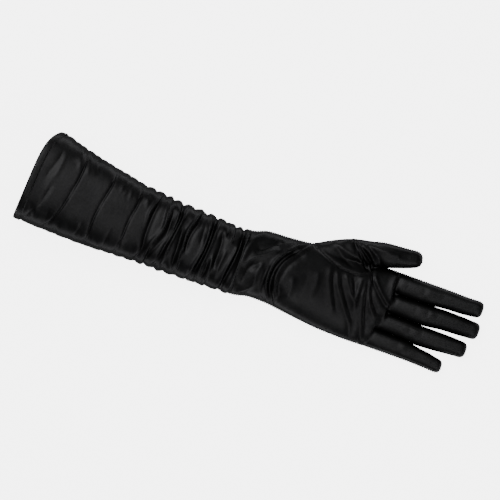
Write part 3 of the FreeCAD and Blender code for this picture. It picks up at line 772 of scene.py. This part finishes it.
def straighten_seams(points, faces, names, thumb_start, thumb_tip):
    """Moves the points between two pieces onto the line of their seam."""
    order, number = np.unique(names, return_inverse=True)
    lowest = np.full(len(points), len(order))
    highest = np.full(len(points), -1)
    for corner in range(4):
        np.minimum.at(lowest, faces[:, corner], number)
        np.maximum.at(highest, faces[:, corner], number)
    moved = points.copy()
    for index in np.flatnonzero((highest >= 0) & (lowest != highest)):
        one, other = order[lowest[index]], order[highest[index]]
        x, y, z = points[index]
        parts = {one.split("_")[0], other.split("_")[0]}
        levels = {one.rsplit("_", 1)[0], other.rsplit("_", 1)[0]}
        if {one, other} == {"palm_panel", "hand_back_panel"}:
            moved[index, 2] = middle_z(x)
        elif "thumb_gusset" in (one, other) and not ("lower" in one + other):
            if abs(y - read(THUMB_SEAM, x)) < SEAM_REACH and z > middle_z(x) and x < GUSSET_END - 1:
                moved[index, 1] = read(THUMB_SEAM, x)
        elif parts == {"thumb"}:
            if len(levels) == 1:
                moved[index, 2] = THUMB_Z
            else:
                at = points[index, :2] @ THUMB_WAY
                line = thumb_start if abs(at - thumb_start) < abs(at - thumb_tip) else thumb_tip
                moved[index, :2] += (line - at) * THUMB_WAY
        else:
            finger = next((f for f in FINGERS if f in parts), None)
            if len(levels) == 2:
                start, split = FINGER_STARTS[finger], FINGER_SPLITS[finger]
                moved[index, 0] = start if abs(x - start) < abs(x - split) else split
            elif "fourchette" in one + other:
                moved[index, 2] = FINGER_Z + math.copysign(FOURCHETTE, z - FINGER_Z)
            else:
                moved[index, 2] = FINGER_Z
    jump = np.linalg.norm(moved - points, axis=1, keepdims=True)
    return points + (moved - points) * np.minimum(1, LONGEST_MOVE / np.maximum(jump, 1e-9))


def seam_line(points, normals, faces, names, first, second, side_of=None):
    """The smooth line where two pieces meet, ordered along X, and the way out of the cloth along it."""
    one = np.unique(faces[names == first])
    other = np.unique(faces[names == second])
    shared = np.intersect1d(one, other)
    if side_of is not None:
        shared = shared[side_of(points[shared])]
    if len(shared) < 4:
        return None
    shared = shared[np.argsort(points[shared, 0])]
    window = np.ones(5) / 5
    padded = (np.pad(rows[shared], ((2, 2), (0, 0)), "edge") for rows in (points, normals))
    return [np.stack([np.convolve(rows[:, k], window, "valid") for k in range(3)], 1)
            for rows in padded]


def overlock(points, normals, faces, names, front, back, side_of, pitch=SEAM_PITCH):
    """Bars of overlock stitching along the seam between a front and a back piece."""
    found = seam_line(points, normals, faces, names, front, back, side_of)
    if found is None:
        return None
    line, out = found
    return bead_chain(line + 0.05 * unit(out), out, pitch, 1.45, 1.7, 1.05)


def above(limit):
    """A test for points further to the thumb's side than the limit."""
    return lambda points: points[:, 1] > limit


def below(limit):
    """A test for points further to the little finger's side than the limit."""
    return lambda points: points[:, 1] < limit


def in_thumb_seam(points):
    """A test for points on the stretch of the gusset's palm seam that is topstitched."""
    x, z = points[:, 0], points[:, 2]
    return (x > 55) & (x < 84) & (z > middle_z(x))


def hand_pieces(material):
    """Every cloth piece of the hand; the thumb's gusset and the thumb seam's stitches are put on the
    hand's body.
    """
    points, faces, owner = hand_skin()
    faces = faces[points[faces][:, :, 0].min(1) > HAND_START]
    names, thumb_start, thumb_tip = hand_regions(points, faces, owner)
    points = straighten_seams(points, faces, names, thumb_start, thumb_tip)
    normals = vertex_normals(points, faces)
    seams = {"hand_back_panel": ("palm_panel", below(-30))}
    for part in ("lower", "upper"):
        seams[f"thumb_{part}_back"] = (f"thumb_{part}_front", above(37))
        seams[f"index_{part}_back"] = (f"index_{part}_front", above(20))
        seams[f"little_{part}_back"] = (f"little_{part}_front", below(-41))
    made = {}
    for name in np.unique(names):
        beads = None
        if name in seams:
            beads = overlock(points, normals, faces, names, seams[name][0], name, seams[name][1])
        if name == "hand_back_panel":
            edge = overlock(points, normals, faces, names, "palm_panel", name, above(15))
            beads = (np.vstack([beads[0], edge[0]]), np.vstack([beads[1], edge[1] + len(beads[0])]))
        made[name] = cloth_piece(name + "_cloth", points, normals, faces[names == name], material,
                                 beads=beads)
    line, out = seam_line(points, normals, faces, names, "thumb_gusset", "palm_panel", in_thumb_seam)
    stitch = bead_chain(line + 0.05 * out, out, TOPSTITCH_PITCH, 1.6, 0.6, 0.5)
    made["thumb_seam_stitches"] = make_object("thumb_seam_stitches", *stitch, None, material)

    for name in ("palm_panel", "hand_back_panel"):
        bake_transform(made[name])
    for name in ("thumb_gusset", "thumb_seam_stitches"):
        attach(made[name], "hand")
    for which in ("front", "back"):
        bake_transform(made[f"thumb_lower_{which}"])
        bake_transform(made[f"thumb_upper_{which}"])
    for finger in FINGERS:
        for which in ("front", "back", "fourchette"):
            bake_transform(made[f"{finger}_lower_{which}"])
            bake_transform(made[f"{finger}_upper_{which}"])
    for name, piece in made.items():
        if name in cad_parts:
            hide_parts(name)
    return made


# ---------------------------------------------------------------- the sleeve

HEM_EDGE = ((-46, -208.5), (-39, -209.8), (-21, -208.8), (0, -207.4), (18, -205.8), (30, -203.4),
            (38, -200), (43, -196), (48, -188))
SLEEVE_START, SLEEVE_END, HEM_PLACE = -3.5, -206.0, -206.0
SLEEVE_ROWS, SLEEVE_AROUND = 370, 232
HEM_HEIGHT = 6.6
TUCKED_IN = 3.6               # how far the sleeve's end is drawn in at the hand
ELASTIC_ENDS = (-14.0, -190.0)
SLEEVE_SQUARENESS = 3.3       # 2 is an ellipse
ELASTIC_HALF = 4              # columns of the sleeve's mesh on each side of the seam
ELASTIC = 0.8                 # thickness of an elastic
ELASTIC_GAP = 0.2             # between an elastic and the cloth


def sleeve_form():
    """The sleeve without folds: rows of points from the hand to the hem."""
    rows = np.linspace(SLEEVE_START, SLEEVE_END, SLEEVE_ROWS)
    angle = np.linspace(0, 2 * math.pi, SLEEVE_AROUND, endpoint=False)
    wide, tall = section(angle, SLEEVE_SQUARENESS)
    low, high = read(LOW_EDGE, rows), read(HIGH_EDGE, rows)
    y = ((low + high) / 2)[:, None] + ((high - low) / 2)[:, None] * wide
    z = middle_z(rows)[:, None] + half_depth(rows)[:, None] * tall
    slant = ease(-rows, 105, 200)[:, None] * (read(HEM_EDGE, y) - HEM_PLACE)
    x = rows[:, None] + slant
    return np.stack([x, y, z], 2).reshape(-1, 3), angle


def grid_faces(rows, around):
    """The quads of a tube of so many rows, open at both ends."""
    r, k = np.meshgrid(np.arange(rows - 1), np.arange(around), indexing="ij")
    a, b = r * around + k, r * around + (k + 1) % around
    return np.stack([a, a + around, b + around, b], 2).reshape(-1, 4)


def sleeve_crumples(rng):
    """The small crumples of one side of the sleeve, fewer where it is taut."""
    edges = (LOW_EDGE, HIGH_EDGE)
    taut = small_gathers(rng, 34, (-198, -104), edges, 0.7)
    return taut + small_gathers(rng, 70, (-104, -12), edges, 0.75)


def sleeve_skin():
    """The sleeve with its gathers, its normals and its faces."""
    points, angle = sleeve_form()
    faces = grid_faces(SLEEVE_ROWS, SLEEVE_AROUND)
    normals = vertex_normals(points, faces)
    if (normals[:, 2] * (points[:, 2] - middle_z(points[:, 0]))).sum() < 0:
        faces = faces[:, ::-1]
        normals = -normals
    around = np.tile(angle, SLEEVE_ROWS)
    x, y = points[:, 0], points[:, 1]
    rng = np.random.default_rng(SEED + 1)
    front_folds = list(TAUT_TUCKS) + list(GATHERS) + sleeve_crumples(rng)
    back_folds = list(BACK_GATHERS) + sleeve_crumples(rng)
    on_front = np.sin(around) >= 0
    lift = np.zeros(len(points))
    lift[on_front] = all_raised(front_folds, x[on_front], y[on_front])
    grid = lift.reshape(SLEEVE_ROWS, SLEEVE_AROUND)
    half = SLEEVE_AROUND // 2
    thumb_side = np.cos(angle)[None, :] > 0
    seam_lift = np.where(thumb_side, grid[:, :1], grid[:, half:half + 1])
    at_seam = 1 - ease(np.abs(np.sin(angle)), 0.0, 0.30)
    back = ~on_front
    lift[back] = all_raised(back_folds, x[back], y[back])
    share = np.where(np.sin(angle) < 0, at_seam, 0.0)[None, :]
    grid = grid * (1 - share) + seam_lift * share
    near_seam = 1 - ease(np.abs(np.sin(angle)), 0.15, 0.75)
    along = np.linspace(SLEEVE_START, SLEEVE_END, SLEEVE_ROWS)
    puffs = np.where(thumb_side, scallops(along, THUMB_SIDE_DIPS)[:, None],
                     scallops(along, LITTLE_SIDE_DIPS, 0.5, 1.4)[:, None])
    grid = grid * (1 - 0.72 * near_seam[None, :]) + puffs * near_seam[None, :]
    grid = grid - TUCKED_IN * ease(along[:, None], -8.0, -4.0)
    points = points + normals * grid.reshape(-1, 1)
    points = smoothed(points, faces, 2, 0.3)
    points[:, 2] = np.maximum(points[:, 2], LOWEST)
    return points, vertex_normals(points, faces), faces


def hem_band(points, normals, material):
    """The turned-up hem: cloth that goes round the sleeve's edge and back inside it."""
    row_step = (SLEEVE_START - SLEEVE_END) / (SLEEVE_ROWS - 1)
    top = HEM_HEIGHT
    outline = ((top, 0.25), (top - 0.1, 0.7), (5.2, 0.75), (4, 0.9), (2.4, 0.95), (1.0, 0.85),
               (0.2, 0.55), (-0.45, 0.0), (-0.3, -0.7), (0.5, -1.25), (2.4, -1.45), (4, -1.4),
               (top - 0.6, -1.3), (top - 0.5, -0.85), (4, -0.95), (2, -0.9), (0.6, -0.55), (0.5, 0.1),
               (1.4, 0.35), (4, 0.4))
    grid = points.reshape(SLEEVE_ROWS, SLEEVE_AROUND, 3)
    out = normals.reshape(SLEEVE_ROWS, SLEEVE_AROUND, 3)
    tilt = unit(grid[-1] - grid[-4])
    rings = []
    for up, away in outline:
        place = SLEEVE_ROWS - 1 - max(up, 0) / row_step
        low = int(place)
        high = min(low + 1, SLEEVE_ROWS - 1)
        share = place - low
        ring = grid[low] * (1 - share) + grid[high] * share
        ring = ring + away * unit(out[low] * (1 - share) + out[high] * share) - min(up, 0) * tilt
        rings.append(ring)
    count = len(rings)
    r, k = np.meshgrid(np.arange(count), np.arange(SLEEVE_AROUND), indexing="ij")
    a = r * SLEEVE_AROUND + k
    b = r * SLEEVE_AROUND + (k + 1) % SLEEVE_AROUND
    c = (r + 1) % count * SLEEVE_AROUND + (k + 1) % SLEEVE_AROUND
    d = (r + 1) % count * SLEEVE_AROUND + k
    faces = np.stack([a, b, c, d], 2).reshape(-1, 4)
    band_points = np.vstack(rings)
    if quad_normals(band_points, faces[:1])[0] @ out[-10, 0] < 0:
        faces = faces[:, ::-1]
    band = make_object("hem_band_cloth", band_points, faces, None, material)
    row = int(SLEEVE_ROWS - 1 - 5.0 / row_step)
    outward = np.vstack([out[row], out[row][:1]])
    line = np.vstack([grid[row], grid[row][:1]]) + 0.82 * outward
    stitch = bead_chain(line, outward, TOPSTITCH_PITCH, 1.8, 0.6, 0.5)
    return band, make_object("hem_stitching", *stitch, None, material)


def sleeve_pieces(cloth, elastic_material):
    """The two gathered panels, their elastics and the hem; the hem and its stitching are put on the
    hem's body.
    """
    points, normals, faces = sleeve_skin()
    columns = faces % SLEEVE_AROUND
    spread = columns.max(1) - columns.min(1)
    first = np.where(spread > 1, columns.max(1), columns.min(1))
    half = SLEEVE_AROUND // 2
    made = {}
    for name, chosen in (("sleeve_front_panel", first < half), ("sleeve_back_panel", first >= half)):
        made[name] = cloth_piece(name + "_cloth", points, normals, faces[chosen], cloth)
    start, end = ELASTIC_ENDS
    for name, seam in (("thumb_side_elastic", 0), ("little_side_elastic", half)):
        away = np.abs((columns - seam + half) % SLEEVE_AROUND - half)
        x = points[faces][:, :, 0]
        chosen = (away.max(1) <= ELASTIC_HALF) & (x.max(1) < start) & (x.min(1) > end)
        inside = points - normals * (CLOTH + ELASTIC_GAP)
        made[name] = cloth_piece(name + "_strip", inside, normals, faces[chosen], elastic_material,
                                 thickness=ELASTIC)
    band, stitching = hem_band(points, normals, cloth)
    for name, piece in made.items():
        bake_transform(piece)
        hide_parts(name)
    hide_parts("hem_band")
    for piece in (band, stitching):
        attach(piece, "hem")
    return made | {"hem_band": band, "hem_stitching": stitching}


# ---------------------------------------------------------------- materials

def new_node(nodes, kind, **values):
    """A shader node with the inputs named here set. An underscore stands for a space."""
    node = nodes.new("ShaderNode" + kind)
    for name, value in values.items():
        node.inputs[name.replace("_", " ")].default_value = value
    return node


def join(links, rows):
    """Joins one node's output to the next one's input, for each row."""
    for source, output, target, socket in rows:
        links.new(source.outputs[output], target.inputs[socket])


def satin():
    """Black satin: a dark sheen that varies in patches, over a fine weave and small creases."""
    material = bpy.data.materials.new("black_satin")
    material.use_nodes = True
    nodes, links = material.node_tree.nodes, material.node_tree.links
    shader = nodes["Principled BSDF"]
    shader.inputs["Metallic"].default_value = 0.98
    shader.inputs["Specular Tint"].default_value = (0.1, 0.1, 0.1, 1)
    place = nodes.new("ShaderNodeTexCoord")
    patches = new_node(nodes, "TexNoise", Scale=38, Detail=3)
    tone = nodes.new("ShaderNodeValToRGB")
    tone.color_ramp.elements[0].position = 0.3
    tone.color_ramp.elements[0].color = (0.016, 0.016, 0.0165, 1)
    tone.color_ramp.elements[1].position = 0.75
    tone.color_ramp.elements[1].color = (0.024, 0.024, 0.0245, 1)
    gloss = new_node(nodes, "MapRange", To_Min=0.40, To_Max=0.48)
    stretched = new_node(nodes, "Mapping", Scale=(900, 2600, 2600))
    weave = new_node(nodes, "TexNoise", Scale=1.0, Detail=1)
    crinkle = new_node(nodes, "TexNoise", Scale=240, Detail=4)
    weave_bump = new_node(nodes, "Bump", Strength=0.25, Distance=0.00008)
    crinkle_bump = new_node(nodes, "Bump", Strength=0.35, Distance=0.0005)
    join(links, (
        (place, "Object", patches, "Vector"),
        (patches, "Fac", tone, "Fac"),
        (tone, "Color", shader, "Base Color"),
        (patches, "Fac", gloss, "Value"),
        (gloss, "Result", shader, "Roughness"),
        (place, "Object", stretched, "Vector"),
        (stretched, "Vector", weave, "Vector"),
        (place, "Object", crinkle, "Vector"),
        (weave, "Fac", weave_bump, "Height"),
        (crinkle, "Fac", crinkle_bump, "Height"),
        (crinkle_bump, "Normal", weave_bump, "Normal"),
        (weave_bump, "Normal", shader, "Normal"),
    ))
    return material


def elastic():
    """Dull ribbed elastic."""
    material = bpy.data.materials.new("gathering_elastic")
    material.use_nodes = True
    nodes, links = material.node_tree.nodes, material.node_tree.links
    shader = nodes["Principled BSDF"]
    shader.inputs["Roughness"].default_value = 0.85
    shader.inputs["Specular IOR Level"].default_value = 0.2
    place = nodes.new("ShaderNodeTexCoord")
    ribs = new_node(nodes, "TexWave", Scale=260, Distortion=0.6)
    tone = nodes.new("ShaderNodeValToRGB")
    tone.color_ramp.elements[0].color = (0.004, 0.004, 0.004, 1)
    tone.color_ramp.elements[1].color = (0.016, 0.016, 0.017, 1)
    bump = new_node(nodes, "Bump", Strength=0.6, Distance=0.0003)
    join(links, (
        (place, "Object", ribs, "Vector"),
        (ribs, "Fac", tone, "Fac"),
        (tone, "Color", shader, "Base Color"),
        (ribs, "Fac", bump, "Height"),
        (bump, "Normal", shader, "Normal"),
    ))
    return material


# ---------------------------------------------------------------- the studio

def area_light(name, place, aim, size, power):
    """A soft rectangular light at a place, aimed at a point."""
    lamp = bpy.data.lights.new(name, "AREA")
    lamp.energy = power
    lamp.shape = "RECTANGLE"
    lamp.size, lamp.size_y = size
    item = bpy.data.objects.new(name, lamp)
    item.location = place
    way = np.array(aim, float) - np.array(place, float)
    item.rotation_euler = Vector(way).to_track_quat("-Z", "Y").to_euler()
    bpy.context.scene.collection.objects.link(item)
    return item


def studio():
    """A pale floor, a pale surrounding and soft lights above."""
    size = 3.0
    height = -0.0004              # just under the glove
    corners = [(x * size, y * size, height) for x, y in ((-1, -1), (1, -1), (1, 1), (-1, 1))]
    mesh = bpy.data.meshes.new("floor")
    mesh.from_pydata(corners, [], [(0, 1, 2, 3)])
    floor = bpy.data.objects.new("floor", mesh)
    bpy.context.scene.collection.objects.link(floor)
    pale = bpy.data.materials.new("pale_floor")
    pale.use_nodes = True
    shader = pale.node_tree.nodes["Principled BSDF"]
    shader.inputs["Base Color"].default_value = (0.9, 0.9, 0.9, 1)
    shader.inputs["Roughness"].default_value = 0.9
    shader.inputs["Specular IOR Level"].default_value = 0.0
    shader.inputs["Emission Color"].default_value = (1, 1, 1, 1)
    shader.inputs["Emission Strength"].default_value = 5.0
    mesh.materials.append(pale)
    world = bpy.data.worlds.new("studio")
    bpy.context.scene.world = world
    world.use_nodes = True
    world.node_tree.nodes["Background"].inputs["Color"].default_value = (1, 1, 1, 1)
    world.node_tree.nodes["Background"].inputs["Strength"].default_value = 0.12
    area_light("key", (-0.35, 0.3, 1.2), (-0.02, 0, 0), (0.9, 0.9), 11)
    area_light("rim", (0.55, -0.45, 0.9), (0.05, 0, 0), (0.3, 0.9), 3)


def camera():
    """Straight above the glove, turned as in the photo and without perspective."""
    lens = bpy.data.cameras.new("camera")
    lens.type = "ORTHO"
    lens.ortho_scale = 0.44
    lens.clip_end = 10
    view = bpy.data.objects.new("camera", lens)
    view.location = (-0.003, 0.0007, 1.5)
    view.rotation_euler = (0, 0, math.radians(19))
    bpy.context.scene.collection.objects.link(view)
    bpy.context.scene.camera = view


cloth = satin()
hand = hand_pieces(cloth)
sleeve = sleeve_pieces(cloth, elastic())
declare_sheets(hand | sleeve)
studio()
camera()
